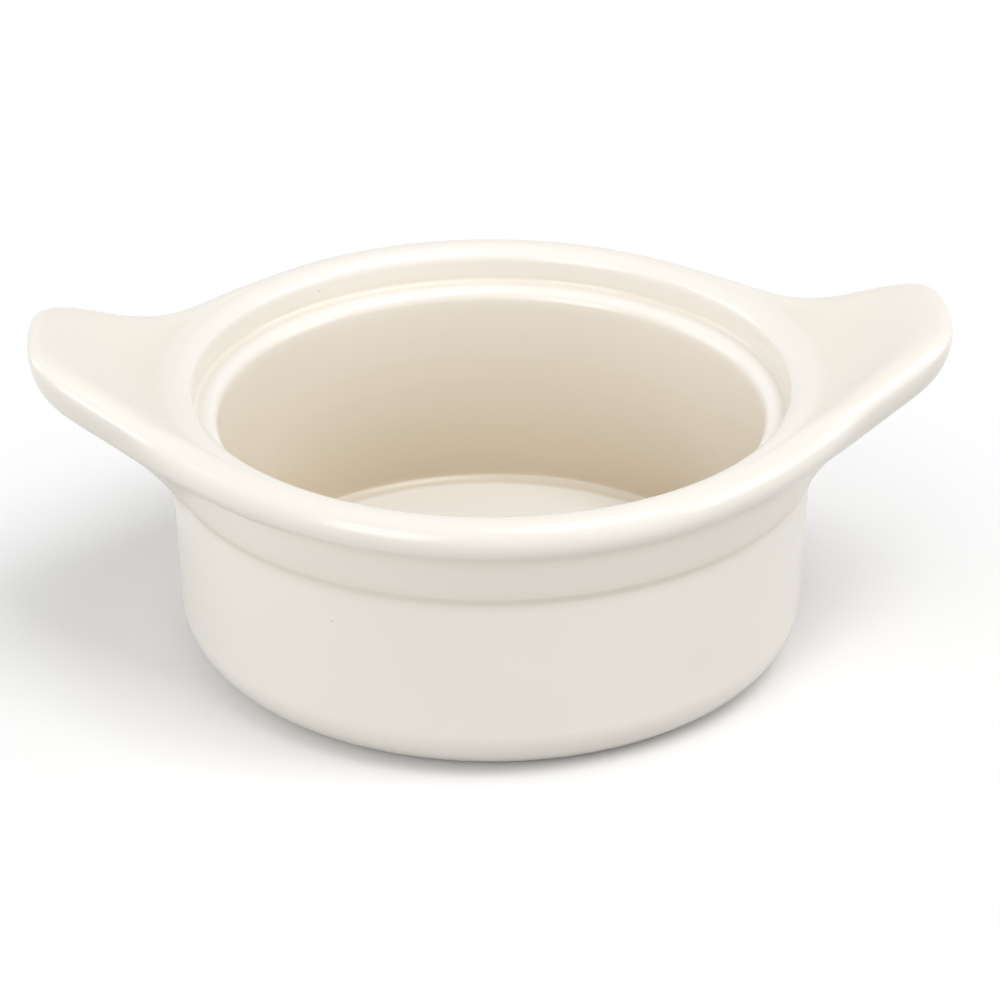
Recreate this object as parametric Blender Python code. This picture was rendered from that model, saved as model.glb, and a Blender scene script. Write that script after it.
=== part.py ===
"""Handled individual casserole dish in glazed china, for one serving, with a lid ledge inside its rim.

The turned bowl carries two lug handles. Each handle is pressed against the outside of the rim on a
layer of slip, the liquid clay that potters use as glue. The bowl stands on its foot ring at z = 0,
its axis is Z, and the handles point along -X and +X. All sizes are in metres.
"""

import math

import bmesh
import bpy

# Overall size of the bowl: outside of the wall just under the collar, and the top of the rim
WALL_RADIUS = 0.0645
RIM_HEIGHT = 0.0577

# Foot, floor and outside of the wall
FOOT_WIDTH = 0.0045
FOOT_RECESS = 0.0015
FLOOR_THICKNESS = 0.0045
BASE_CORNER_RADIUS = 0.0105
WALL_DRAFT = 0.0012

# Collar, the low band under the rim: it steps out from the wall and leans out to the rim
COLLAR_DEPTH = 0.0181
COLLAR_STEP = 0.0006
COLLAR_STEP_HEIGHT = 0.0014

# Rolled rim, a round bead that stands out over the collar, and where round it the collar and the gallery start
RIM_BEAD_RADIUS = 0.0043
RIM_OVERHANG = 0.0031
RIM_OUTER_ANGLE = -46.4
RIM_INNER_ANGLE = 150.0

# Inside: the gallery under the rim, the ledge for a lid, the wall and the corner of the floor
GALLERY_DRAFT = 0.0004
LEDGE_DEPTH = 0.0075
LEDGE_WIDTH = 0.0022
LEDGE_COVE_RADIUS = 0.0010
LEDGE_EDGE_RADIUS = 0.0026
INNER_WALL_DRAFT = 0.0008
FLOOR_CORNER_RADIUS = 0.0020

# Handles: a lug with a square-shouldered tip, and a flare that eases the rim out to meet it
HANDLE_REACH = 0.0240
HANDLE_WIDTH = 0.0424
HANDLE_SHOULDER = 4.5
HANDLE_RISE = 0.0114
HANDLE_FLARE = 0.0064
HANDLE_FLARE_WIDTH = 0.0680
HANDLE_ROOT_DROP = 0.0185
HANDLE_ROOT_FULLNESS = 4
HANDLE_END_THICKNESS = 0.0016

# Edge of a handle: a tight curve above its widest line, and a deep one below that turns under by an angle.
# Towards the ends of the handle the edge becomes the rim's own bead.
EDGE_TOP_WIDTH = 0.0020
EDGE_TOP_HEIGHT = 0.0016
EDGE_UNDER_WIDTH = 0.0080
EDGE_UNDER_HEIGHT = 0.0105
EDGE_TURN = 58.0
EDGE_FULL_SHARE = 0.30

# How long the handle's curves keep their way at their ends, as shares of their run
TOP_EASE_AT_RIM = 0.50
TOP_EASE_AT_TIP = 0.40
UNDERSIDE_EASE_AT_TIP = 0.35
UNDERSIDE_EASE_AT_WALL = 0.30

# Slip seam between a handle and the bowl
SLIP_THICKNESS = 0.0005
SLIP_INSET = 0.0006
JOINT_GAP = 0.0003

# Facets
BOWL_STEPS = 80
CORNER_FACETS = 6
BEAD_FACETS = 11
SMALL_ARC_FACETS = 4
HANDLE_STEPS = 32
HANDLE_TOP_POINTS = 20
HANDLE_UNDERSIDE_POINTS = 26
SLIP_POINTS = 20
CURVE_SAMPLES = 80
WELD_DISTANCE = 0.000005
SHARP_ANGLE = 40.0

# Colours and roughness
CHINA_COLOUR = (0.80, 0.735, 0.635, 1.0)
CHINA_ROUGHNESS = 0.18
SLIP_COLOUR = (0.74, 0.66, 0.55, 1.0)
SLIP_ROUGHNESS = 0.75

# Sizes that follow from the ones above
COLLAR_RADIUS = WALL_RADIUS + COLLAR_STEP
COLLAR_BOTTOM = RIM_HEIGHT - COLLAR_DEPTH
RIM_RADIUS = COLLAR_RADIUS + RIM_OVERHANG
BEAD_RADIUS_AT_CENTRE = RIM_RADIUS - RIM_BEAD_RADIUS
BEAD_HEIGHT_AT_CENTRE = RIM_HEIGHT - RIM_BEAD_RADIUS
COLLAR_FOOT = COLLAR_BOTTOM + COLLAR_STEP_HEIGHT
COLLAR_TOP = BEAD_HEIGHT_AT_CENTRE + RIM_BEAD_RADIUS * math.sin(math.radians(RIM_OUTER_ANGLE))
COLLAR_TOP_RADIUS = BEAD_RADIUS_AT_CENTRE + RIM_BEAD_RADIUS * math.cos(math.radians(RIM_OUTER_ANGLE))
BASE_RADIUS = WALL_RADIUS - WALL_DRAFT
FOOT_RADIUS = BASE_RADIUS - BASE_CORNER_RADIUS
FLOOR_HEIGHT = FOOT_RECESS + FLOOR_THICKNESS
GALLERY_TOP_RADIUS = BEAD_RADIUS_AT_CENTRE + RIM_BEAD_RADIUS * math.cos(math.radians(RIM_INNER_ANGLE))
GALLERY_RADIUS = GALLERY_TOP_RADIUS - GALLERY_DRAFT
LEDGE_HEIGHT = RIM_HEIGHT - LEDGE_DEPTH
INNER_RADIUS = GALLERY_RADIUS - LEDGE_WIDTH - LEDGE_EDGE_RADIUS
INNER_BASE_RADIUS = INNER_RADIUS - INNER_WALL_DRAFT
SLIP_RADIUS = RIM_RADIUS + JOINT_GAP + SLIP_THICKNESS
ROOT_RADIUS = SLIP_RADIUS + JOINT_GAP


def clear_scene():
    for obj in list(bpy.data.objects):
        bpy.data.objects.remove(obj, do_unlink=True)


def make_material(name, colour, roughness):
    material = bpy.data.materials.new(name)
    material.use_nodes = True
    shader = material.node_tree.nodes["Principled BSDF"]
    shader.inputs["Base Color"].default_value = colour
    shader.inputs["Roughness"].default_value = roughness
    shader.inputs["Metallic"].default_value = 0.0
    return material


def arc(centre, radius, start, end, steps):
    """Points (radius, height) on an arc from start to end, in degrees, both ends included."""
    points = []
    for i in range(steps + 1):
        angle = math.radians(start + (end - start) * i / steps)
        points.append((centre[0] + radius * math.cos(angle), centre[1] + radius * math.sin(angle)))
    return points


def bezier(p0, p1, p2, p3, steps):
    """Points on a cubic curve from p0 to p3, both ends included."""
    points = []
    for i in range(steps + 1):
        t = i / steps
        s = 1.0 - t
        weights = (s * s * s, 3 * s * s * t, 3 * s * t * t, t * t * t)
        r = sum(w * p[0] for w, p in zip(weights, (p0, p1, p2, p3)))
        z = sum(w * p[1] for w, p in zip(weights, (p0, p1, p2, p3)))
        points.append((r, z))
    return points


def body_radius(height, offset):
    """Outside radius of the turned bowl at a height, with the surface moved out by an offset."""
    radius = 0.0
    if height < COLLAR_BOTTOM - offset:
        share = (height - BASE_CORNER_RADIUS) / (COLLAR_BOTTOM - BASE_CORNER_RADIUS)
        radius = BASE_RADIUS + WALL_DRAFT * share + offset
    elif height < COLLAR_TOP:
        share = max(0.0, (height - COLLAR_FOOT) / (COLLAR_TOP - COLLAR_FOOT))
        radius = COLLAR_RADIUS + (COLLAR_TOP_RADIUS - COLLAR_RADIUS) * share + offset
    bead = (RIM_BEAD_RADIUS + offset) ** 2 - (height - BEAD_HEIGHT_AT_CENTRE) ** 2
    if bead > 0.0:
        radius = max(radius, BEAD_RADIUS_AT_CENTRE + math.sqrt(bead))
    return radius


def bowl_profile():
    """Turning profile, from the middle of the underside round the outside to the middle of the floor."""
    foot_inner = FOOT_RADIUS - FOOT_WIDTH
    points = [(0.0, FOOT_RECESS), (foot_inner - FOOT_RECESS, FOOT_RECESS), (foot_inner, 0.0)]
    points += arc((FOOT_RADIUS, BASE_CORNER_RADIUS), BASE_CORNER_RADIUS, -90, 0, CORNER_FACETS)
    points += [(WALL_RADIUS, COLLAR_BOTTOM), (COLLAR_RADIUS, COLLAR_FOOT)]
    bead_centre = (BEAD_RADIUS_AT_CENTRE, BEAD_HEIGHT_AT_CENTRE)
    points += arc(bead_centre, RIM_BEAD_RADIUS, RIM_OUTER_ANGLE, RIM_INNER_ANGLE, BEAD_FACETS)
    cove = (GALLERY_RADIUS - LEDGE_COVE_RADIUS, LEDGE_HEIGHT + LEDGE_COVE_RADIUS)
    points += arc(cove, LEDGE_COVE_RADIUS, 0, -90, SMALL_ARC_FACETS)
    edge = (GALLERY_RADIUS - LEDGE_WIDTH, LEDGE_HEIGHT - LEDGE_EDGE_RADIUS)
    points += arc(edge, LEDGE_EDGE_RADIUS, 90, 180, SMALL_ARC_FACETS)
    corner = (INNER_BASE_RADIUS - FLOOR_CORNER_RADIUS, FLOOR_HEIGHT + FLOOR_CORNER_RADIUS)
    points += arc(corner, FLOOR_CORNER_RADIUS, 0, -90, SMALL_ARC_FACETS)
    points.append((0.0, FLOOR_HEIGHT))
    return points


def handle_share(angle):
    """How much of the lug there is at an angle from its middle, from 1 at the tip down to 0."""
    half_angle = 0.5 * HANDLE_WIDTH / (RIM_RADIUS + 0.5 * HANDLE_REACH)
    return 1.0 / (1.0 + abs(angle / half_angle) ** HANDLE_SHOULDER)


def outline_radius(angle):
    """Radius of the handle's outline, seen from above, at an angle from its middle."""
    share = handle_share(angle)
    flare = math.exp(-((2.0 * angle * RIM_RADIUS / HANDLE_FLARE_WIDTH) ** 2))
    return RIM_RADIUS + HANDLE_REACH * share + HANDLE_FLARE * flare * (1.0 - share)


def handle_end_angle():
    """Angle at which the flank has thinned to its end thickness outside the root face, by halving."""
    near = 0.0
    far = 0.5 * math.pi
    smallest = 1e-9
    while far - near > smallest:
        middle = 0.5 * (near + far)
        if outline_radius(middle) > ROOT_RADIUS + HANDLE_END_THICKNESS:
            near = middle
        else:
            far = middle
    return near


def edge_stretch(angle):
    """A radial cut crosses the flank at a slant, so the round edge is longer in it by this factor."""
    small = 1e-4
    slope = (outline_radius(angle + small) - outline_radius(angle - small)) / (2 * small)
    return math.hypot(1.0, slope / outline_radius(angle))


def edge_size(size, share):
    """A size of the handle's edge: the rim's bead at the handle's ends, easing to its full size on the lug."""
    t = min(share / EDGE_FULL_SHARE, 1.0)
    return RIM_BEAD_RADIUS + (size - RIM_BEAD_RADIUS) * t * t * (3.0 - 2.0 * t)


def handle_skin(angle):
    """Outline of a radial cut: over the top from the rim, round the edge and back below to the wall."""
    share = handle_share(angle)
    outer = outline_radius(angle)
    stretch = edge_stretch(angle)
    top_width, top_height = edge_size(EDGE_TOP_WIDTH, share), edge_size(EDGE_TOP_HEIGHT, share)
    under_width, under_height = edge_size(EDGE_UNDER_WIDTH, share), edge_size(EDGE_UNDER_HEIGHT, share)
    crest = (BEAD_RADIUS_AT_CENTRE, RIM_HEIGHT)
    top = (max(outer - top_width * stretch, crest[0]), RIM_HEIGHT + HANDLE_RISE * share)
    inmost = max(outer - under_width * stretch, crest[0])
    widest = top[1] - top_height
    run = top[0] - crest[0]
    level = (crest[0] + TOP_EASE_AT_RIM * run, crest[1])
    arrive = (top[0] - TOP_EASE_AT_TIP * run, top[1])
    skin = bezier(crest, level, arrive, top, CURVE_SAMPLES)
    for r, z in arc((0.0, 0.0), 1.0, 90, 0, CURVE_SAMPLES)[1:]:
        skin.append((top[0] + (outer - top[0]) * r, widest + top_height * z))
    for r, z in arc((0.0, 0.0), 1.0, 0, -EDGE_TURN, CURVE_SAMPLES)[1:]:
        skin.append((inmost + (outer - inmost) * r, widest + under_height * z))
    below = skin[-1]
    toe_height = COLLAR_TOP - HANDLE_ROOT_DROP * (1.0 - (1.0 - share) ** HANDLE_ROOT_FULLNESS)
    toe = (body_radius(toe_height, 0.0), toe_height)
    way = ((outer - inmost) * math.tan(math.radians(EDGE_TURN)), under_height)
    ease = UNDERSIDE_EASE_AT_TIP * (below[0] - toe[0]) / math.hypot(*way)
    leave = (below[0] - ease * way[0], below[1] - ease * way[1])
    upright = (toe[0], toe[1] + UNDERSIDE_EASE_AT_WALL * (below[1] - toe[1]))
    return skin + bezier(below, leave, upright, toe, CURVE_SAMPLES)[1:]


def cut_at_root(points):
    """The stretch of a path outside the handle's root face, with both ends exactly on that face."""
    cut = []
    for a, b in zip(points, points[1:]):
        if (a[0] > ROOT_RADIUS) != (b[0] > ROOT_RADIUS):
            share = (ROOT_RADIUS - a[0]) / (b[0] - a[0])
            cut.append((ROOT_RADIUS, a[1] + share * (b[1] - a[1])))
        if b[0] > ROOT_RADIUS:
            cut.append(b)
    return cut


def evenly_spaced(points, count):
    """The same path with a set number of points at equal steps along it."""
    lengths = [0.0]
    for a, b in zip(points, points[1:]):
        lengths.append(lengths[-1] + math.dist(a, b))
    spaced = []
    at = 0
    for i in range(count):
        wanted = lengths[-1] * i / (count - 1)
        while at < len(points) - 2 and lengths[at + 1] < wanted:
            at += 1
        share = (wanted - lengths[at]) / (lengths[at + 1] - lengths[at])
        a, b = points[at], points[at + 1]
        spaced.append((a[0] + share * (b[0] - a[0]), a[1] + share * (b[1] - a[1])))
    return spaced


def handle_section(angle):
    """Closed radial cut of the handle: its skin, then the straight root face back to the first point."""
    skin = cut_at_root(handle_skin(angle))
    tip = max(range(len(skin)), key=lambda i: skin[i][0])
    top = evenly_spaced(skin[: tip + 1], HANDLE_TOP_POINTS)
    underside = evenly_spaced(skin[tip:], HANDLE_UNDERSIDE_POINTS)
    return top + underside[1:]


def slip_section(angle):
    """Closed radial cut of the slip: straight against the handle, shaped to the rim and collar behind."""
    skin = cut_at_root(handle_skin(angle))
    low = skin[-1][1] + SLIP_INSET
    high = min(skin[0][1], RIM_HEIGHT) - SLIP_INSET
    heights = [low + (high - low) * i / (SLIP_POINTS - 1) for i in range(SLIP_POINTS)]
    return [(SLIP_RADIUS, high), (SLIP_RADIUS, low)] + [(body_radius(z, JOINT_GAP), z) for z in heights]


def finish_mesh(name, shape):
    bmesh.ops.remove_doubles(shape, verts=shape.verts, dist=WELD_DISTANCE)
    bmesh.ops.recalc_face_normals(shape, faces=shape.faces)
    mesh = bpy.data.meshes.new(name)
    shape.to_mesh(mesh)
    shape.free()
    mesh.shade_smooth()
    mesh.set_sharp_from_angle(angle=math.radians(SHARP_ANGLE))
    return mesh


def turned_mesh(name, profile, steps):
    """Mesh of a profile (radius, height) turned round Z."""
    shape = bmesh.new()
    verts = [shape.verts.new((r, 0.0, z)) for r, z in profile]
    edges = [shape.edges.new(pair) for pair in zip(verts, verts[1:])]
    turn = 2.0 * math.pi
    bmesh.ops.spin(shape, geom=verts + edges, cent=(0, 0, 0), axis=(0, 0, 1), angle=turn, steps=steps)
    return finish_mesh(name, shape)


def lofted_mesh(name, section, end_angle, steps):
    """Mesh of radial cuts joined side by side round Z, with a flat face at each end."""
    shape = bmesh.new()
    loops = []
    for i in range(steps + 1):
        angle = end_angle * (2.0 * i / steps - 1.0)
        cut = section(angle)
        loops.append([shape.verts.new((r * math.cos(angle), r * math.sin(angle), z)) for r, z in cut])
    for at, (one, two) in enumerate(zip(loops, loops[1:])):
        for i in range(len(one)):
            corners = [one[i - 1], one[i], two[i], two[i - 1]]
            if 2 * at < steps:
                # The faces of this half start at another corner, so that they split as a mirror image
                corners = corners[1:] + corners[:1]
            shape.faces.new(corners)
    shape.faces.new(loops[0])
    shape.faces.new(loops[-1])
    return finish_mesh(name, shape)


def add_piece(name, mesh, material):
    mesh.materials.append(material)
    piece = bpy.data.objects.new(name, mesh)
    bpy.context.scene.collection.objects.link(piece)
    return piece


clear_scene()
china = make_material("glazed_china", CHINA_COLOUR, CHINA_ROUGHNESS)
slip = make_material("fired_slip", SLIP_COLOUR, SLIP_ROUGHNESS)

bowl = add_piece("bowl", turned_mesh("bowl", bowl_profile(), BOWL_STEPS), china)

end_angle = handle_end_angle()
slip_end_angle = end_angle - SLIP_INSET / RIM_RADIUS
for side, turn in (("right", 0.0), ("left", math.pi)):
    handle = lofted_mesh(f"{side}_handle", handle_section, end_angle, HANDLE_STEPS)
    seam = lofted_mesh(f"{side}_slip_seam", slip_section, slip_end_angle, HANDLE_STEPS)
    for mesh, material in ((handle, china), (seam, slip)):
        piece = add_piece(mesh.name, mesh, material)
        piece.rotation_euler.z = turn
        piece.parent = bowl
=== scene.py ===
"""Ivory china casserole dish for one portion: a turned bowl with a lid ledge, and two lug handles."""

import math

import bmesh
import bpy
import numpy as np
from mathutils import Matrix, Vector


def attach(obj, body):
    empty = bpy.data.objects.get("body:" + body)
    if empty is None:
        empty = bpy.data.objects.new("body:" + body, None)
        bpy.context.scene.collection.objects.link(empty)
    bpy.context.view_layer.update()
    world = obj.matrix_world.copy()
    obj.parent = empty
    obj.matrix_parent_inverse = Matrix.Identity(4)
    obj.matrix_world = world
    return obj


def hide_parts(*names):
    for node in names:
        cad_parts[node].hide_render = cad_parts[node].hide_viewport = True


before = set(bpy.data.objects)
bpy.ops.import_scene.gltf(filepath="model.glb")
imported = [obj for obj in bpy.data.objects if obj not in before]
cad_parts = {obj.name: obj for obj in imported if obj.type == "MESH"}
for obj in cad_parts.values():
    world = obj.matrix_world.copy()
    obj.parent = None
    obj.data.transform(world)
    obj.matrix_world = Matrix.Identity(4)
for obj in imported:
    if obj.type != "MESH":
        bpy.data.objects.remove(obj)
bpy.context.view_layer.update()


# Bowl
# The bowl is one piece of vitrified china, jiggered over a mould: a profile tool turns the foot, the wall,
# the collar and the rolled rim in one pass. It stands on a bare foot ring, wiped clean before firing.

WALL_RADIUS = 0.0645
WALL_DRAFT = 0.0012
RIM_HEIGHT = 0.0577
FOOT_WIDTH = 0.0045
FOOT_RECESS = 0.0015
FOOT_COVE_RADIUS = 0.0010
FOOT_EDGE_RADIUS = 0.0006
FLOOR_THICKNESS = 0.0045
BASE_CORNER_RADIUS = 0.0105
COLLAR_DEPTH = 0.0181
COLLAR_STEP = 0.0006
COLLAR_STEP_HEIGHT = 0.0014
COLLAR_STEP_ROUNDING = 0.0022
COLLAR_LEAN = 0.19
RIM_BEAD_RADIUS = 0.0043
RIM_OVERHANG = 0.0031
RIM_OUTER_ANGLE = -34.0
RIM_INNER_ANGLE = 150.0
RIM_CORNER_ROUNDING = 0.0042
GALLERY_DRAFT = 0.0004
LEDGE_DEPTH = 0.0075
LEDGE_WIDTH = 0.0022
LEDGE_COVE_RADIUS = 0.0010
LEDGE_EDGE_RADIUS = 0.0026
INNER_WALL_DRAFT = 0.0008
FLOOR_CORNER_RADIUS = 0.0020
PROFILE_STEPS = {"corner": 8, "base": 28, "bead": 60, "cove": 12, "edge": 20, "floor": 20}
PROFILE_SPACING = 0.0014
TURNING_STEPS = 288
SEAM_MERGE = 2e-6

COLLAR_RADIUS = WALL_RADIUS + COLLAR_STEP
COLLAR_BOTTOM = RIM_HEIGHT - COLLAR_DEPTH
COLLAR_FOOT = COLLAR_BOTTOM + COLLAR_STEP_HEIGHT
RIM_RADIUS = COLLAR_RADIUS + RIM_OVERHANG
BEAD_CENTRE = (RIM_RADIUS - RIM_BEAD_RADIUS, RIM_HEIGHT - RIM_BEAD_RADIUS)
BASE_RADIUS = WALL_RADIUS - WALL_DRAFT
FOOT_RADIUS = BASE_RADIUS - BASE_CORNER_RADIUS
FOOT_INNER_RADIUS = FOOT_RADIUS - FOOT_WIDTH
FLOOR_HEIGHT = FOOT_RECESS + FLOOR_THICKNESS
GALLERY_RADIUS = BEAD_CENTRE[0] + RIM_BEAD_RADIUS * math.cos(math.radians(RIM_INNER_ANGLE)) - GALLERY_DRAFT
LEDGE_HEIGHT = RIM_HEIGHT - LEDGE_DEPTH
INNER_RADIUS = GALLERY_RADIUS - LEDGE_WIDTH - LEDGE_EDGE_RADIUS
INNER_BASE_RADIUS = INNER_RADIUS - INNER_WALL_DRAFT


def arc(centre, radius, start, end, steps):
    """Points (radius, height) on an arc from start to end, in degrees, both ends included."""
    angles = np.radians(np.linspace(start, end, steps + 1))
    return [(centre[0] + radius * math.cos(a), centre[1] + radius * math.sin(a)) for a in angles]


def rounded(first, corners, last):
    """A path from first to last through corners (radius, height, rounding), each replaced by an arc."""
    stops = [first, *(corner[:2] for corner in corners), last]
    path = [first]
    for before, (*here, rounding), after in zip(stops, corners, stops[2:]):
        corner = Vector(here)
        arrive = (corner - Vector(before)).normalized()
        leave = (Vector(after) - corner).normalized()
        turn = arrive.angle_signed(leave)
        start = corner - arrive * (rounding * math.tan(0.5 * abs(turn)))
        side = Vector((-arrive.y, arrive.x)) * (-1.0 if turn > 0.0 else 1.0)
        for swing in np.linspace(0.0, abs(turn), PROFILE_STEPS["corner"] + 1):
            ahead = arrive * rounding * math.sin(swing)
            path.append(tuple(start + ahead + side * rounding * (1.0 - math.cos(swing))))
    path.append(last)
    return path


def collar_corner():
    """Radius and height where the leaning collar, drawn on upwards, meets the slope that leaves the bead."""
    angle = math.radians(RIM_OUTER_ANGLE)
    start = Vector(BEAD_CENTRE) + RIM_BEAD_RADIUS * Vector((math.cos(angle), math.sin(angle)))
    slope = Vector((math.sin(angle), -math.cos(angle)))
    gap = start.x - COLLAR_RADIUS - COLLAR_LEAN * (start.y - COLLAR_FOOT)
    return start + slope * gap / (COLLAR_LEAN * slope.y - slope.x)


def bowl_profile():
    """The profile tool's outline, from the middle of the underside round the rim to the floor's middle."""
    foot = [
        (FOOT_INNER_RADIUS - FOOT_RECESS, FOOT_RECESS, FOOT_COVE_RADIUS),
        (FOOT_INNER_RADIUS, 0.0, FOOT_EDGE_RADIUS),
    ]
    collar = [
        (WALL_RADIUS, COLLAR_BOTTOM, COLLAR_STEP_ROUNDING),
        (COLLAR_RADIUS, COLLAR_FOOT, COLLAR_STEP_ROUNDING),
        (*collar_corner(), RIM_CORNER_ROUNDING),
    ]
    base_centre = (FOOT_RADIUS, BASE_CORNER_RADIUS)
    cove_centre = (GALLERY_RADIUS - LEDGE_COVE_RADIUS, LEDGE_HEIGHT + LEDGE_COVE_RADIUS)
    edge_centre = (GALLERY_RADIUS - LEDGE_WIDTH, LEDGE_HEIGHT - LEDGE_EDGE_RADIUS)
    floor_centre = (INNER_BASE_RADIUS - FLOOR_CORNER_RADIUS, FLOOR_HEIGHT + FLOOR_CORNER_RADIUS)
    bead = arc(BEAD_CENTRE, RIM_BEAD_RADIUS, RIM_OUTER_ANGLE, RIM_INNER_ANGLE, PROFILE_STEPS["bead"])
    path = rounded((0.0, FOOT_RECESS), foot, (FOOT_RADIUS, 0.0))[:-1]
    path += arc(base_centre, BASE_CORNER_RADIUS, -90, 0, PROFILE_STEPS["base"])
    path += rounded(path[-1], collar, bead[0])[1:-1]
    path += bead
    path += arc(cove_centre, LEDGE_COVE_RADIUS, 0, -90, PROFILE_STEPS["cove"])
    path += arc(edge_centre, LEDGE_EDGE_RADIUS, 90, 180, PROFILE_STEPS["edge"])
    path += arc(floor_centre, FLOOR_CORNER_RADIUS, 0, -90, PROFILE_STEPS["floor"])
    path.append((0.0, FLOOR_HEIGHT))
    return path


def divided(path, longest):
    """The same path with no stretch longer than a given length."""
    fine = [path[0]]
    for a, b in zip(path, path[1:]):
        parts = max(1, math.ceil(math.dist(a, b) / longest))
        fine += [tuple(np.array(a) + (np.array(b) - np.array(a)) * i / parts) for i in range(1, parts + 1)]
    return fine


def linear(hex_colour):
    """A colour written as sRGB hex, as linear red, green, blue and alpha."""
    parts = [int(hex_colour[i : i + 2], 16) / 255.0 for i in (1, 3, 5)]
    return [c / 12.92 if c <= 0.04045 else ((c + 0.055) / 1.055) ** 2.4 for c in parts] + [1.0]


def add_node(tree, kind, settings=None, **inputs):
    """Adds a node, sets its properties, and fills its inputs with values or with links from other sockets.

    An input goes by its name, with _ for a space, or by its number after a _.
    """
    node = tree.nodes.new(kind)
    for name, value in (settings or {}).items():
        setattr(node, name, value)
    for name, value in inputs.items():
        wanted = int(name[1:]) if name[1:].isdigit() else name.replace("_", " ")
        socket = node.inputs[wanted]
        if isinstance(value, bpy.types.NodeSocket):
            tree.links.new(value, socket)
        else:
            socket.default_value = value
    return node


# Glazed vitrified china: a fired ivory body under a clear glossy glaze, a few tenths of a millimetre thick.
# The glaze looks warmer where it pools in hollows and paler where it runs thin on edges. The warm pooled
# colour also paints shade down the lower inside wall and along the collar step, and the pale thin colour
# paints light on the inner floor. It lies in soft waves a few millimetres wide and carries a rare iron speck.
# The foot ring
# is bare: matt, gritty and more sandy, with its grit drawn coarser than it is so that it shows.
IVORY_PALE = "#EDE7DE"
IVORY_WARM = "#E8E1D5"
# Besides pooled and thin glaze, these two colours paint shade on the lower inside wall and the collar step,
# and light on the inner floor.
POOLED_GLAZE_AND_SHADE = "#D8CAB2"
THIN_GLAZE_AND_LIGHT = "#F6F4F0"
IRON_SPECK = "#B9A384"
BARE_CLAY = "#DCCFB9"
GLAZE_IOR = 1.52
GLAZE_ROUGHNESS = (0.17, 0.26)
BARE_ROUGHNESS = 0.8
THINNEST_GLAZE = -1.2
CLOUD_SIZE = 0.038
CLOUD_DETAIL = 3.0
CLOUD_SPAN = (0.3, 0.7)
WAVE_SIZE = 0.0075
WAVE_HEIGHT = 0.000018
WAVE_DETAIL = 1.0
RING_SPACING = 0.0026
RING_HEIGHT = 0.0000012
RING_WANDER = 2.0
GRIT_SIZE = 0.0004
GRIT_HEIGHT = 0.00002
SPECK_SPACING = 0.013
SPECK_RADIUS = 0.00022
SPECK_BLUR = 0.5
SPECK_STRENGTH = 0.45
SPECK_RARITY = 0.55

china = bpy.data.materials.new("glazed_vitrified_china")
china.use_nodes = True
tree = china.node_tree
shader = tree.nodes["Principled BSDF"]
shader.inputs["IOR"].default_value = GLAZE_IOR
place = add_node(tree, "ShaderNodeTexCoord").outputs["Object"]
glaze_and_painted_light = add_node(tree, "ShaderNodeAttribute", {"attribute_name": "glaze_depth_and_painted_light"}).outputs["Fac"]
bare = add_node(tree, "ShaderNodeAttribute", {"attribute_name": "bare_clay"}).outputs["Fac"]
turned = add_node(tree, "ShaderNodeAttribute", {"attribute_name": "tool_rings"}).outputs["Fac"]

clouds = add_node(tree, "ShaderNodeTexNoise", Vector=place, Scale=1.0 / CLOUD_SIZE, Detail=CLOUD_DETAIL)
cells = add_node(tree, "ShaderNodeTexVoronoi", Vector=place, Scale=1.0 / SPECK_SPACING)
dot = add_node(
    tree,
    "ShaderNodeMapRange",
    Value=cells.outputs["Distance"],
    From_Min=(1.0 - SPECK_BLUR) * SPECK_RADIUS / SPECK_SPACING,
    From_Max=(1.0 + SPECK_BLUR) * SPECK_RADIUS / SPECK_SPACING,
    To_Min=SPECK_STRENGTH,
    To_Max=0.0,
)
rare = add_node(
    tree, "ShaderNodeMath", {"operation": "GREATER_THAN"}, _0=cells.outputs["Color"], _1=SPECK_RARITY
)
speck = add_node(tree, "ShaderNodeMath", {"operation": "MULTIPLY"}, _0=dot.outputs[0], _1=rare.outputs[0])
# These two mixes also paint the shade and the light that the glaze depth carries.
pooled_and_painted_shade = add_node(tree, "ShaderNodeMapRange", Value=glaze_and_painted_light, From_Min=0.0, From_Max=1.0)
thin_and_painted_light = add_node(tree, "ShaderNodeMapRange", Value=glaze_and_painted_light, From_Min=0.0, From_Max=THINNEST_GLAZE)
colour = linear(IVORY_PALE)
for share, next_colour in (
    (clouds.outputs["Fac"], IVORY_WARM),
    (pooled_and_painted_shade.outputs[0], POOLED_GLAZE_AND_SHADE),
    (thin_and_painted_light.outputs[0], THIN_GLAZE_AND_LIGHT),
    (speck.outputs[0], IRON_SPECK),
    (bare, BARE_CLAY),
):
    mixed = add_node(
        tree, "ShaderNodeMix", {"data_type": "RGBA"}, Factor=share, _6=colour, _7=linear(next_colour)
    )
    colour = mixed.outputs[2]
tree.links.new(colour, shader.inputs["Base Color"])

gloss = add_node(
    tree,
    "ShaderNodeMapRange",
    Value=clouds.outputs["Fac"],
    From_Min=CLOUD_SPAN[0],
    From_Max=CLOUD_SPAN[1],
    To_Min=GLAZE_ROUGHNESS[0],
    To_Max=GLAZE_ROUGHNESS[1],
)
dulled = add_node(
    tree, "ShaderNodeMix", {"data_type": "FLOAT"}, Factor=bare, _2=gloss.outputs[0], _3=BARE_ROUGHNESS
)
tree.links.new(dulled.outputs[0], shader.inputs["Roughness"])

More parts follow.
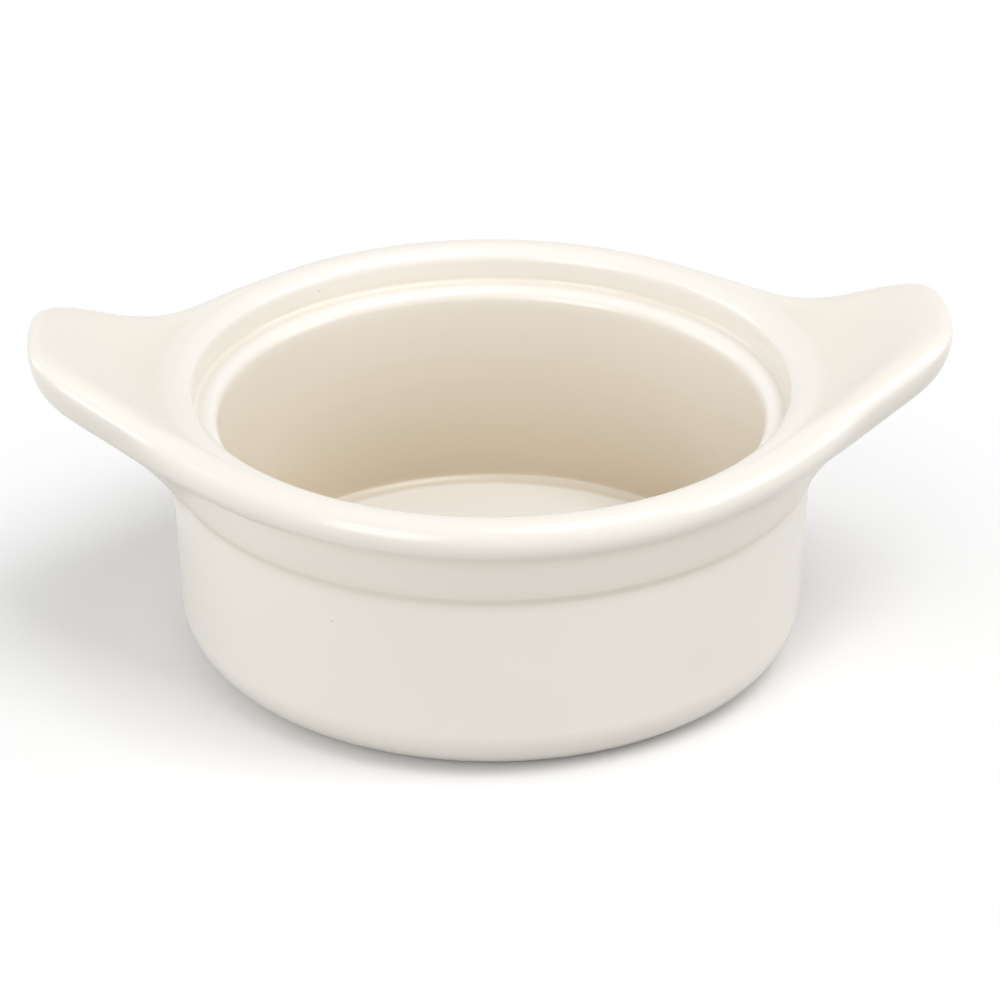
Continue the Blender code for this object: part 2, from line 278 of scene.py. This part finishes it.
waves = add_node(tree, "ShaderNodeTexNoise", Vector=place, Scale=1.0 / WAVE_SIZE, Detail=WAVE_DETAIL)
wavy = add_node(tree, "ShaderNodeBump", Height=waves.outputs["Fac"], Distance=WAVE_HEIGHT)
axes = add_node(tree, "ShaderNodeSeparateXYZ", Vector=place).outputs
flat = add_node(tree, "ShaderNodeCombineXYZ", X=axes["X"], Y=axes["Y"])
radius = add_node(tree, "ShaderNodeVectorMath", {"operation": "LENGTH"}, _0=flat.outputs[0])
along = add_node(tree, "ShaderNodeMath", {"operation": "ADD"}, _0=radius.outputs["Value"], _1=axes["Z"])
turns = add_node(
    tree, "ShaderNodeMath", {"operation": "MULTIPLY"}, _0=along.outputs[0], _1=2.0 * math.pi / RING_SPACING
)
uneven = add_node(
    tree,
    "ShaderNodeMath",
    {"operation": "MULTIPLY_ADD"},
    _0=waves.outputs["Fac"],
    _1=RING_WANDER,
    _2=turns.outputs[0],
)
rings = add_node(tree, "ShaderNodeMath", {"operation": "SINE"}, _0=uneven.outputs[0])
marks = add_node(tree, "ShaderNodeMath", {"operation": "MULTIPLY"}, _0=rings.outputs[0], _1=turned)
ringed = add_node(
    tree, "ShaderNodeBump", Height=marks.outputs[0], Distance=RING_HEIGHT, Normal=wavy.outputs[0]
)
grains = add_node(tree, "ShaderNodeTexNoise", Vector=place, Scale=1.0 / GRIT_SIZE)
grit = add_node(tree, "ShaderNodeMath", {"operation": "MULTIPLY"}, _0=grains.outputs["Fac"], _1=bare)
gritty = add_node(
    tree, "ShaderNodeBump", Height=grit.outputs[0], Distance=GRIT_HEIGHT, Normal=ringed.outputs[0]
)
tree.links.new(gritty.outputs[0], shader.inputs["Normal"])

SURFACE_MARKS = ("glaze_depth_and_painted_light", "bare_clay", "tool_rings")


def turning_tree():
    """Turns the profile that it is given round Z, keeps its marks, and closes the seam and the poles."""
    tree = bpy.data.node_groups.new("turned_on_the_wheel", "GeometryNodeTree")
    tree.interface.new_socket("Profile", in_out="INPUT", socket_type="NodeSocketGeometry")
    tree.interface.new_socket("Turning Steps", in_out="INPUT", socket_type="NodeSocketInt")
    tree.interface.new_socket("Clay And Glaze", in_out="INPUT", socket_type="NodeSocketMaterial")
    tree.interface.new_socket("Turned Piece", in_out="OUTPUT", socket_type="NodeSocketGeometry")
    given = add_node(tree, "NodeGroupInput").outputs
    size = add_node(tree, "GeometryNodeAttributeDomainSize", {"component": "MESH"}, Geometry=given["Profile"])
    count = size.outputs["Point Count"]
    columns = add_node(tree, "FunctionNodeIntegerMath", {"operation": "ADD"}, _0=given["Turning Steps"], _1=1)
    grid = add_node(tree, "GeometryNodeMeshGrid", Vertices_X=columns.outputs[0], Vertices_Y=count)
    index = add_node(tree, "GeometryNodeInputIndex").outputs[0]
    row = add_node(tree, "FunctionNodeIntegerMath", {"operation": "MODULO"}, _0=index, _1=count)
    column = add_node(tree, "FunctionNodeIntegerMath", {"operation": "DIVIDE_FLOOR"}, _0=index, _1=count)
    share = add_node(
        tree, "ShaderNodeMath", {"operation": "DIVIDE"}, _0=column.outputs[0], _1=given["Turning Steps"]
    )
    angle = add_node(tree, "ShaderNodeMath", {"operation": "MULTIPLY"}, _0=share.outputs[0], _1=2.0 * math.pi)
    point = add_node(
        tree,
        "GeometryNodeSampleIndex",
        {"data_type": "FLOAT_VECTOR"},
        Geometry=given["Profile"],
        Value=add_node(tree, "GeometryNodeInputPosition").outputs[0],
        Index=row.outputs[0],
    )
    turned = add_node(
        tree,
        "ShaderNodeVectorRotate",
        {"rotation_type": "Z_AXIS"},
        Vector=point.outputs[0],
        Angle=angle.outputs[0],
    )
    shape = add_node(
        tree, "GeometryNodeSetPosition", Geometry=grid.outputs["Mesh"], Position=turned.outputs[0]
    ).outputs[0]
    for mark in SURFACE_MARKS:
        stored = add_node(tree, "GeometryNodeInputNamedAttribute", {"data_type": "FLOAT"}, Name=mark)
        value = add_node(
            tree,
            "GeometryNodeSampleIndex",
            {"data_type": "FLOAT"},
            Geometry=given["Profile"],
            Value=stored.outputs[0],
            Index=row.outputs[0],
        )
        shape = add_node(
            tree,
            "GeometryNodeStoreNamedAttribute",
            {"data_type": "FLOAT", "domain": "POINT"},
            Geometry=shape,
            Name=mark,
            Value=value.outputs[0],
        ).outputs[0]
    closed = add_node(tree, "GeometryNodeMergeByDistance", Geometry=shape, Distance=SEAM_MERGE)
    smooth = add_node(tree, "GeometryNodeSetShadeSmooth", Geometry=closed.outputs[0])
    whole = add_node(tree, "GeometryNodeRealizeInstances", Geometry=smooth.outputs[0])
    coloured = add_node(
        tree, "GeometryNodeSetMaterial", Geometry=whole.outputs[0], Material=given["Clay And Glaze"]
    )
    add_node(tree, "NodeGroupOutput", Turned_Piece=coloured.outputs[0])
    return tree


def new_piece(name, mesh):
    """An object at the origin that shows a mesh."""
    piece = bpy.data.objects.new(name, mesh)
    bpy.context.scene.collection.objects.link(piece)
    return piece


def turned_piece(name, path, marks, material):
    """A mesh object turned from a path, made by the turning tree and left as a plain mesh."""
    outline = bpy.data.meshes.new(name + "_profile")
    outline.from_pydata([(r, 0.0, z) for r, z in path], [(i, i + 1) for i in range(len(path) - 1)], [])
    for mark, values in zip(SURFACE_MARKS, marks):
        outline.attributes.new(mark, "FLOAT", "POINT").data.foreach_set("value", values)
    piece = new_piece(name, outline)
    tree = turning_tree()
    modifier = piece.modifiers.new("turning", "NODES")
    modifier.node_group = tree
    sockets = {s.name: s.identifier for s in tree.interface.items_tree if s.in_out == "INPUT"}
    modifier[sockets["Turning Steps"]] = TURNING_STEPS
    modifier[sockets["Clay And Glaze"]] = material
    graph = bpy.context.evaluated_depsgraph_get()
    mesh = bpy.data.meshes.new_from_object(piece.evaluated_get(graph))
    mesh.name = name
    piece.modifiers.clear()
    piece.data = mesh
    bpy.data.meshes.remove(outline)
    bpy.data.node_groups.remove(tree)
    return piece


# The depth of the glaze: 1 is a full pool, 0 the plain coat, and below 0 the coat runs thin. It also carries
# painted shade, added as pool: darker towards the bottom of the inside wall and along the collar step, where
# glaze also gathers. And it carries painted light, added as a thinner coat on the inner floor.
GLAZE_FLOW = 0.0007
GLAZE_GATHERING = 0.0028
GLAZE_ON_BENDS = 0.5
GLAZE_OFF_WALL = 0.3
# Painted shade: a darker line along the collar step, partly glaze pooled in the step.
GLAZE_AND_SHADE_IN_STEP = 0.45
STEP_SHADE_SPREAD = 0.0017
GLAZE_OFF_LEDGE = 0.4
# Painted shade: the inside wall gets darker towards the floor, partly glaze running down it.
SHADE_AND_GLAZE_DOWN_WALL = 1.15
SHADE_AND_GLAZE_DOWN_WALL_POWER = 1.3
# Painted light: the inner floor is made paler than the plain coat.
PAINTED_LIGHT_ON_FLOOR = 1.3
LEDGE_GLAZE_END = INNER_RADIUS + 0.2 * LEDGE_EDGE_RADIUS
FLOOR_ZONE_TOP = FLOOR_HEIGHT + 0.5 * FLOOR_CORNER_RADIUS
BARE_FOOT_HEIGHT = 0.0003
BARE_FOOT_MARGIN = 0.001


def glaze_depths(path, outside):
    """How deep the glaze lies along a path, from its bends: more than 0 in a hollow, less than 0 on an edge.

    Outside is 1 where the open air is on the right of the path's travel, and -1 where it is on the left.
    """
    points = np.array(path)
    steps = np.diff(points, axis=0)
    lengths = np.linalg.norm(steps, axis=1)
    along = np.concatenate([[0.0], np.cumsum(lengths)])
    ways = np.unwrap(np.arctan2(steps[:, 1], steps[:, 0]))
    bends = np.zeros(len(points))
    bends[1:-1] = np.diff(ways) / (0.5 * (lengths[1:] + lengths[:-1]))
    bends[0], bends[-1] = bends[1], bends[-2]
    shares = np.zeros(len(points))
    shares[:-1] += 0.5 * lengths
    shares[1:] += 0.5 * lengths
    near = np.exp(-0.5 * ((along[:, None] - along[None, :]) / GLAZE_FLOW) ** 2) * shares[None, :]
    return -outside * GLAZE_ON_BENDS * np.tanh((near @ bends) / near.sum(axis=1) * GLAZE_GATHERING)


def eased(value, start, end):
    """0 before start, 1 after end, and a smooth curve between."""
    t = np.clip((value - start) / (end - start), 0.0, 1.0)
    return t * t * (3.0 - 2.0 * t)


profile = divided(bowl_profile(), PROFILE_SPACING)
rim_crest = max(range(len(profile)), key=lambda i: profile[i][1])
glaze_and_painted_light_depths = glaze_depths(profile, 1)
for i, (r, z) in enumerate(profile):
    if i < rim_crest:
        below_step = eased(-z, -COLLAR_FOOT, -COLLAR_BOTTOM)
        from_step = z - COLLAR_BOTTOM - 0.5 * COLLAR_STEP_HEIGHT
        glaze_and_painted_light_depths[i] -= GLAZE_OFF_WALL * eased(z, 0.0, BASE_CORNER_RADIUS) * below_step
        # Painted shade along the collar step, partly real pooling.
        glaze_and_painted_light_depths[i] += GLAZE_AND_SHADE_IN_STEP * math.exp(-((from_step / STEP_SHADE_SPREAD) ** 2))
    elif r > LEDGE_GLAZE_END:
        glaze_and_painted_light_depths[i] -= GLAZE_OFF_LEDGE * eased(r, RIM_RADIUS - RIM_BEAD_RADIUS, GALLERY_RADIUS)
    elif z > FLOOR_ZONE_TOP:
        # Painted shade, darker towards the bottom of the inside wall, partly glaze running down.
        way_down = max(LEDGE_HEIGHT - z, 0.0) / (LEDGE_HEIGHT - FLOOR_HEIGHT)
        glaze_and_painted_light_depths[i] += SHADE_AND_GLAZE_DOWN_WALL * way_down**SHADE_AND_GLAZE_DOWN_WALL_POWER
    elif r < INNER_BASE_RADIUS - FLOOR_CORNER_RADIUS:
        # Painted light: the inner floor is made paler.
        glaze_and_painted_light_depths[i] -= PAINTED_LIGHT_ON_FLOOR
unglazed = [float(z < BARE_FOOT_HEIGHT and r > FOOT_INNER_RADIUS - BARE_FOOT_MARGIN) for r, z in profile]
bowl = turned_piece("china_bowl", profile, (glaze_and_painted_light_depths, unglazed, np.ones(len(profile))), china)
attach(bowl, "root")
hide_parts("bowl")


# Handles
# Two lugs pressed from the same clay and luted to the leather-hard rim with slip. The joint is sponged smooth
# before glazing, so the rim's crest runs on into the handle's top and the underside dies into the wall.

HANDLE_REACH = 0.0240
HANDLE_WIDTH = 0.0424
HANDLE_SHOULDER = 4.5
HANDLE_RISE = 0.0114
HANDLE_FLARE = 0.0064
HANDLE_FLARE_WIDTH = 0.0680
HANDLE_TOE_DROP = 0.0038
HANDLE_ROOT_DROP = 0.0178
HANDLE_ROOT_FULLNESS = 4
EDGE_TOP = (0.0020, 0.0016)
EDGE_UNDER = (0.0080, 0.0105)
EDGE_TURN = 58.0
EDGE_FULL_SHARE = 0.3
OVER_EASE = (0.5, 0.4)
UNDER_EASE = (0.35, 0.3)
HANDLE_FADE = (math.radians(38.0), math.radians(58.0))
HANDLE_END = math.radians(60.0)
HANDLE_STEPS = 300
CUT_STEPS = {"inside": 14, "over": 30, "edge": 18, "turn": 18, "under": 44}
PLAIN_SHOULDER = 72.0
SLANT_STEP = 1e-4
SPONGED_START = 138.0
SPONGED_FILLET = 0.0012
TOE_SUNK = 1.3 * SPONGED_FILLET
SPONGE_PASSES = 24
SPONGE_GIVE = 0.125
SPONGE_EASE = (10, 12)
LEAST_REACH = 1e-9
LEAD_STEPS = 6
TAIL_POINTS = 12
SKIN_PROUD = 0.000008
SKIN_SUNK = 0.00002
SHARP_ANGLE = math.radians(40.0)


def outer_skin():
    """Which points of the profile a handle can lie on: from the foot, over the rim, into the gallery."""
    points = np.array(profile)
    first = int(np.argmax(points[:, 0] > FOOT_RADIUS))
    last = rim_crest + int(np.argmax(points[rim_crest:, 1] < RIM_HEIGHT - 0.5 * LEDGE_DEPTH))
    return slice(first, last + 1)


SKIN = np.array(profile)[outer_skin()]
# The bowl's glaze along this skin includes the painted shade along the collar step.
SKIN_GLAZE_AND_PAINTED_SHADE = glaze_and_painted_light_depths[outer_skin()]
SKIN_LENGTHS = np.linalg.norm(np.diff(SKIN, axis=0), axis=1)
SKIN_ALONG = np.concatenate([[0.0], np.cumsum(SKIN_LENGTHS)])


def on_skin(along):
    """Points on the bowl's skin at given lengths along it, and the way out of the clay at each."""
    near = np.column_stack([np.interp(along, SKIN_ALONG, SKIN[:, i]) for i in (0, 1)])
    slope = np.gradient(SKIN, SKIN_ALONG, axis=0)
    outwards, upwards = (np.interp(along, SKIN_ALONG, slope[:, i]) for i in (0, 1))
    way = np.column_stack([upwards, -outwards])
    return near, way / np.linalg.norm(way, axis=1)[:, None]


def beside_skin(points):
    """For each point, how far along the bowl's skin it lies, and how far out of the clay it is."""
    start, step = SKIN[:-1], np.diff(SKIN, axis=0)
    share = np.clip(((points[:, None] - start) * step).sum(axis=2) / SKIN_LENGTHS**2, 0.0, 1.0)
    gap = np.linalg.norm(points[:, None] - start - step * share[:, :, None], axis=2)
    pick = np.argmin(gap, axis=1)
    rows = np.arange(len(points))
    along = SKIN_ALONG[pick] + share[rows, pick] * SKIN_LENGTHS[pick]
    near, way = on_skin(along)
    return along, np.copysign(gap[rows, pick], ((points - near) * way).sum(axis=1))


def handle_share(angle):
    """1 over the middle of the handle, falling to 0 past its shoulders, at an angle from its middle."""
    half_angle = 0.5 * HANDLE_WIDTH / (RIM_RADIUS + 0.5 * HANDLE_REACH)
    return 1.0 / (1.0 + abs(angle / half_angle) ** HANDLE_SHOULDER)


def outline_radius(angle):
    """Radius of the handle's outline, seen from above, at an angle from its middle."""
    share = handle_share(angle)
    flare = math.exp(-((2.0 * angle * RIM_RADIUS / HANDLE_FLARE_WIDTH) ** 2))
    return RIM_RADIUS + HANDLE_REACH * share + HANDLE_FLARE * flare * (1.0 - share)


def toe_height(angle):
    """Height at which the handle's underside dies into the wall, at an angle from its middle."""
    share = 1.0 - (1.0 - handle_share(angle)) ** HANDLE_ROOT_FULLNESS
    return BEAD_CENTRE[1] - HANDLE_TOE_DROP - HANDLE_ROOT_DROP * share


def wall_radius(height):
    """Outside radius of the bowl at each height, up to the middle of the rim's bead."""
    rising = SKIN[: int(np.argmax(SKIN[:, 0])) + 1]
    return np.interp(height, rising[:, 1], rising[:, 0])


def bezier(p0, p1, p2, p3, steps):
    """Points on a cubic curve that leaves p0 towards p1 and reaches p3 from p2."""
    p0, p1, p2, p3 = (np.array(p) for p in (p0, p1, p2, p3))
    t = np.linspace(0.0, 1.0, steps + 1)[:, None]
    s = 1.0 - t
    return s**3 * p0 + 3 * s * s * t * p1 + 3 * s * t * t * p2 + t**3 * p3


def lug_cut(angle):
    """Radial cut of the lug before sponging: from inside the crest, over top and edge, into the wall."""
    share = handle_share(angle)
    outer = outline_radius(angle)
    spread = (outline_radius(angle + SLANT_STEP) - outline_radius(angle - SLANT_STEP)) / (2 * SLANT_STEP)
    slant = math.hypot(1.0, spread / outer)
    sharper = eased(share, 0.0, EDGE_FULL_SHARE)
    over_in, over_up = RIM_BEAD_RADIUS + (np.array(EDGE_TOP) - RIM_BEAD_RADIUS) * sharper
    under_in, under_down = RIM_BEAD_RADIUS + (np.array(EDGE_UNDER) - RIM_BEAD_RADIUS) * sharper

    inside = np.array(arc(BEAD_CENTRE, RIM_BEAD_RADIUS, SPONGED_START, 90, CUT_STEPS["inside"]))
    crest = inside[-1]
    top = np.array([max(outer - over_in * slant, crest[0]), RIM_HEIGHT + HANDLE_RISE * share])
    rise = crest + (OVER_EASE[0] * (top[0] - crest[0]), 0.0)
    level = top - (OVER_EASE[1] * (top[0] - crest[0]), 0.0)
    over = bezier(crest, rise, level, top, CUT_STEPS["over"])

    quarter = np.array(arc((0.0, 0.0), 1.0, 90, 0, CUT_STEPS["edge"]))
    edge = top - (0.0, over_up) + quarter * (outer - top[0], over_up)
    inmost = max(outer - under_in * slant, BEAD_CENTRE[0])
    bulge = np.array(arc((0.0, 0.0), 1.0, 0, -EDGE_TURN, CUT_STEPS["turn"])) * (outer - inmost, under_down)
    turn = (inmost, top[1] - over_up) + bulge

    below = turn[-1]
    toe = np.array([wall_radius(toe_height(angle)) - TOE_SUNK, toe_height(angle)])
    slope = np.array([-(outer - inmost) * math.tan(math.radians(EDGE_TURN)), -under_down])
    leave = below + UNDER_EASE[0] * (below[0] - toe[0]) * slope / np.linalg.norm(slope)
    arrive = toe + (0.0, UNDER_EASE[1] * (below[1] - toe[1]))
    under = bezier(below, leave, arrive, toe, CUT_STEPS["under"])
    return np.vstack([inside, over[1:], edge[1:], turn[1:], under[1:]])


def plain_cut(angle):
    """The bowl's own skin, with as many points as a cut of the lug, so that one runs out into the other."""
    stretches = {
        "inside": (SPONGED_START, 90),
        "over": (90, PLAIN_SHOULDER),
        "edge": (PLAIN_SHOULDER, 0),
        "turn": (0, RIM_OUTER_ANGLE),
    }
    bead = []
    for name, (start, end) in stretches.items():
        bead += arc(BEAD_CENTRE, RIM_BEAD_RADIUS, start, end, CUT_STEPS[name])[bool(bead) :]
    heights = np.linspace(bead[-1][1], toe_height(angle), CUT_STEPS["under"] + 1)[1:]
    return np.vstack([bead, np.column_stack([wall_radius(heights), heights])])


def sponged(lug):
    """The lug's cuts, each point drawn towards its neighbours, but less so near the crest and the toe."""
    place = np.arange(lug.shape[1])
    first, last = CUT_STEPS["inside"], place[-1]
    from_crest = eased(place, first, first + SPONGE_EASE[0])
    to_toe = 1.0 - eased(place, last - SPONGE_EASE[1], last)
    give = np.minimum(from_crest, to_toe)
    for _ in range(SPONGE_PASSES):
        round_about = lug[:-2, 1:-1] + lug[2:, 1:-1] + lug[1:-1, :-2] + lug[1:-1, 2:]
        lug[1:-1, 1:-1] += SPONGE_GIVE * (round_about - 4.0 * lug[1:-1, 1:-1]) * give[None, 1:-1, None]
    return lug


def handle_cuts(angles):
    """Cuts of the handle, run out into the plain rim and laid on the bowl's skin, and their glaze, which near
    the skin takes the collar step's painted shade.
    """
    lug = sponged(np.array([lug_cut(a) for a in angles]))
    place = np.arange(lug.shape[1])
    nose = CUT_STEPS["inside"] + CUT_STEPS["over"] + CUT_STEPS["edge"]
    lead = np.array(arc(BEAD_CENTRE, RIM_BEAD_RADIUS, RIM_INNER_ANGLE, SPONGED_START, LEAD_STEPS))[:-1]
    least = SKIN_PROUD * place
    cuts, glaze = [], []
    for angle, cut in zip(angles, lug):
        lasting = 1.0 - eased(abs(angle), *HANDLE_FADE)
        cut = plain_cut(angle) * (1.0 - lasting) + cut * lasting
        along, out = beside_skin(cut)
        reach = SPONGED_FILLET * lasting * eased(place, nose, nose + CUT_STEPS["turn"]) + LEAST_REACH
        lying = (place > nose) & (out < reach)
        along[nose:] = np.minimum.accumulate(along[nose:] + least[nose:]) - least[nose:]
        near, way = on_skin(along)
        fillet = np.clip(reach - np.abs(out), 0.0, None) ** 2 / (4.0 * reach)
        out[lying] = (np.maximum(out, 0.0) + fillet)[lying]
        cut[lying] = (near + way * out[:, None])[lying]
        tail = SKIN[SKIN[:, 1] < cut[-1, 1]][::-1][:TAIL_POINTS]
        own = glaze_depths(np.vstack([lead, cut, tail]), -1)[len(lead) : len(lead) + len(cut)]
        free = eased(out, 0.1 * SPONGED_FILLET, SPONGED_FILLET)
        # Near the bowl's skin the handle takes the bowl's glaze, with the collar step's painted shade.
        glaze.append(np.interp(along, SKIN_ALONG, SKIN_GLAZE_AND_PAINTED_SHADE) * (1.0 - free) + own * free)
        cuts.append(cut + way * SKIN_PROUD)
    return cuts, glaze


def handle_mesh(name, turn):
    """The handle's skin, sunk along its border by less than a hair and closed inside the bowl's clay."""
    angles = HANDLE_END * np.linspace(-1.0, 1.0, HANDLE_STEPS + 1)
    cuts, glaze = handle_cuts(angles)
    hair = SKIN_SUNK / RIM_RADIUS
    angles = np.concatenate([[angles[0] - hair], angles, [angles[-1] + hair]])
    cuts = [cuts[0]] + cuts + [cuts[-1]]
    glaze = [glaze[0]] + glaze + [glaze[-1]]
    verts, glaze_and_painted_light_depths = [], []
    for i, (angle, cut, deep) in enumerate(zip(angles, cuts, glaze)):
        way = on_skin(beside_skin(cut)[0])[1] * (SKIN_PROUD + SKIN_SUNK)
        if i in (0, len(cuts) - 1):
            cut = cut - way
        cut = np.vstack([cut[0] - way[0], cut, cut[-1] - way[-1]])
        glaze_and_painted_light_depths += [deep[0], *deep, deep[-1]]
        verts += [(r * math.cos(angle + turn), r * math.sin(angle + turn), z) for r, z in cut]
    rows = len(cut)
    faces = []
    for i in range(len(cuts) - 1):
        for j in range(rows):
            k = (j + 1) % rows
            faces.append((i * rows + j, i * rows + k, (i + 1) * rows + k, (i + 1) * rows + j))
    faces.append(tuple(range(rows - 1, -1, -1)))
    faces.append(tuple(range((len(cuts) - 1) * rows, len(cuts) * rows)))
    mesh = bpy.data.meshes.new(name)
    mesh.from_pydata(verts, [], faces)
    shape = bmesh.new()
    shape.from_mesh(mesh)
    bmesh.ops.recalc_face_normals(shape, faces=shape.faces)
    shape.to_mesh(mesh)
    shape.free()
    mesh.shade_smooth()
    mesh.set_sharp_from_angle(angle=SHARP_ANGLE)
    # Glaze depth, with the painted shade of the collar step, for the material.
    mesh.attributes.new("glaze_depth_and_painted_light", "FLOAT", "POINT").data.foreach_set("value", glaze_and_painted_light_depths)
    mesh.materials.append(china)
    return mesh


for side, turn in (("right", 0.0), ("left", math.pi)):
    handle = new_piece(f"{side}_lug_handle", handle_mesh(f"{side}_lug_handle", turn))
    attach(handle, "root")
    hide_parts(f"{side}_handle", f"{side}_slip_seam")


# Floor, light and camera
# A plain white table in a soft studio light, seen from a little above the rim. The table looks white, but
# throws back less light than white paint would, so the undersides of the dish keep their shade. Away from the
# dish it fades into the white of the room, and close to the dish it keeps the shadow.

TABLE_HALF = 6.0
TABLE_SEEN = "#F6F6F6"
TABLE_THROWN = "#C0C0C0"
TABLE_ROUGHNESS = 0.9
TABLE_LIGHT = 0.60
SHADOW_FADE = (0.080, 0.150)
ROOM_LIGHT = 0.47


def seen_or_lit(tree, kind, seen, lit):
    """One value where the eye sees it, straight or mirrored, and another for the light it throws."""
    ray = add_node(tree, "ShaderNodeLightPath").outputs
    eye = ray["Is Camera Ray"]
    for mirrored in ("Is Glossy Ray", "Is Transmission Ray"):
        eye = add_node(tree, "ShaderNodeMath", {"operation": "MAXIMUM"}, _0=eye, _1=ray[mirrored]).outputs[0]
    lit_input, seen_input, output = {"FLOAT": (2, 3, 0), "RGBA": (6, 7, 2)}[kind]
    mix = add_node(tree, "ShaderNodeMix", {"data_type": kind}, Factor=eye)
    mix.inputs[lit_input].default_value = lit
    mix.inputs[seen_input].default_value = seen
    return mix.outputs[output]


corners = [(x * TABLE_HALF, y * TABLE_HALF, 0.0) for x, y in ((-1, -1), (1, -1), (1, 1), (-1, 1))]
table_mesh = bpy.data.meshes.new("table")
table_mesh.from_pydata(corners, [], [(0, 1, 2, 3)])
table = new_piece("table", table_mesh)

# White table paint: matt, with no gloss of its own that could mirror the dish.
paint = bpy.data.materials.new("white_table_paint")
paint.use_nodes = True
tree = paint.node_tree
shader = tree.nodes["Principled BSDF"]
shader.inputs["Roughness"].default_value = TABLE_ROUGHNESS
shader.inputs["Specular IOR Level"].default_value = 0.0
white = seen_or_lit(tree, "RGBA", linear(TABLE_SEEN), linear(TABLE_THROWN))
tree.links.new(white, shader.inputs["Base Color"])
spot = add_node(tree, "ShaderNodeTexCoord").outputs["Object"]
away = add_node(tree, "ShaderNodeVectorMath", {"operation": "LENGTH"}, _0=spot)
faded = add_node(
    tree,
    "ShaderNodeMapRange",
    {"interpolation_type": "SMOOTHSTEP"},
    Value=away.outputs["Value"],
    From_Min=SHADOW_FADE[0],
    From_Max=SHADOW_FADE[1],
)
glow = add_node(tree, "ShaderNodeEmission", Strength=seen_or_lit(tree, "FLOAT", 1.0, TABLE_LIGHT))
whole = add_node(tree, "ShaderNodeMixShader", Fac=faded.outputs[0], _1=shader.outputs[0], _2=glow.outputs[0])
tree.links.new(whole.outputs[0], tree.nodes["Material Output"].inputs["Surface"])
table_mesh.materials.append(paint)

world = bpy.data.worlds.new("studio")
bpy.context.scene.world = world
world.use_nodes = True
tree = world.node_tree
room = tree.nodes["Background"]
room.inputs["Color"].default_value = (1.0, 1.0, 1.0, 1.0)
tree.links.new(seen_or_lit(tree, "FLOAT", 1.0, ROOM_LIGHT), room.inputs["Strength"])

SOFTBOX_SIZE = 0.9
SOFTBOX_DISTANCE = 1.6
SOFTBOX_AIM = Vector((0.0, 0.0, 0.03))


def way_to(azimuth, elevation):
    """The way from the dish to a stand, in degrees: azimuth 0 is the front and 90 the right."""
    turn, lift = math.radians(azimuth), math.radians(elevation)
    return Vector((math.sin(turn) * math.cos(lift), -math.cos(turn) * math.cos(lift), math.sin(lift)))


def add_softbox(name, azimuth, elevation, glow):
    """A square softbox that faces the dish. Glow is its brightness, where 1 looks white."""
    lamp = bpy.data.lights.new(name, "AREA")
    lamp.size = SOFTBOX_SIZE
    lamp.energy = math.pi * SOFTBOX_SIZE * SOFTBOX_SIZE * glow
    box = bpy.data.objects.new(name, lamp)
    out = way_to(azimuth, elevation)
    box.location = out * SOFTBOX_DISTANCE + SOFTBOX_AIM
    box.rotation_euler = (-out).to_track_quat("-Z", "Y").to_euler()
    bpy.context.scene.collection.objects.link(box)


add_softbox("high_softbox", 50.0, 65.0, 4.1)
add_softbox("right_softbox", 80.0, 24.0, 2.8)
add_softbox("front_left_softbox", -40.0, 22.0, 3.65)
add_softbox("left_softbox", -108.0, 20.0, 1.8)

CAMERA_AZIMUTH = -3.8
CAMERA_ELEVATION = 27.44
CAMERA_DISTANCE = 0.9
CAMERA_AIM_HEIGHT = 0.02864
CAMERA_SIDESTEP = 0.00179
CAMERA_LENS = 159.2
CAMERA_SENSOR = 36.0

camera = bpy.data.objects.new("camera", bpy.data.cameras.new("camera"))
bpy.context.scene.collection.objects.link(camera)
camera.data.lens = CAMERA_LENS
camera.data.sensor_width = CAMERA_SENSOR
back = way_to(CAMERA_AZIMUTH, CAMERA_ELEVATION)
sideways = way_to(CAMERA_AZIMUTH + 90.0, 0.0)
camera.location = sideways * CAMERA_SIDESTEP + Vector((0.0, 0.0, CAMERA_AIM_HEIGHT)) + back * CAMERA_DISTANCE
camera.rotation_euler = (-back).to_track_quat("-Z", "Y").to_euler()
bpy.context.scene.camera = camera
bpy.context.scene.view_settings.view_transform = "Standard"
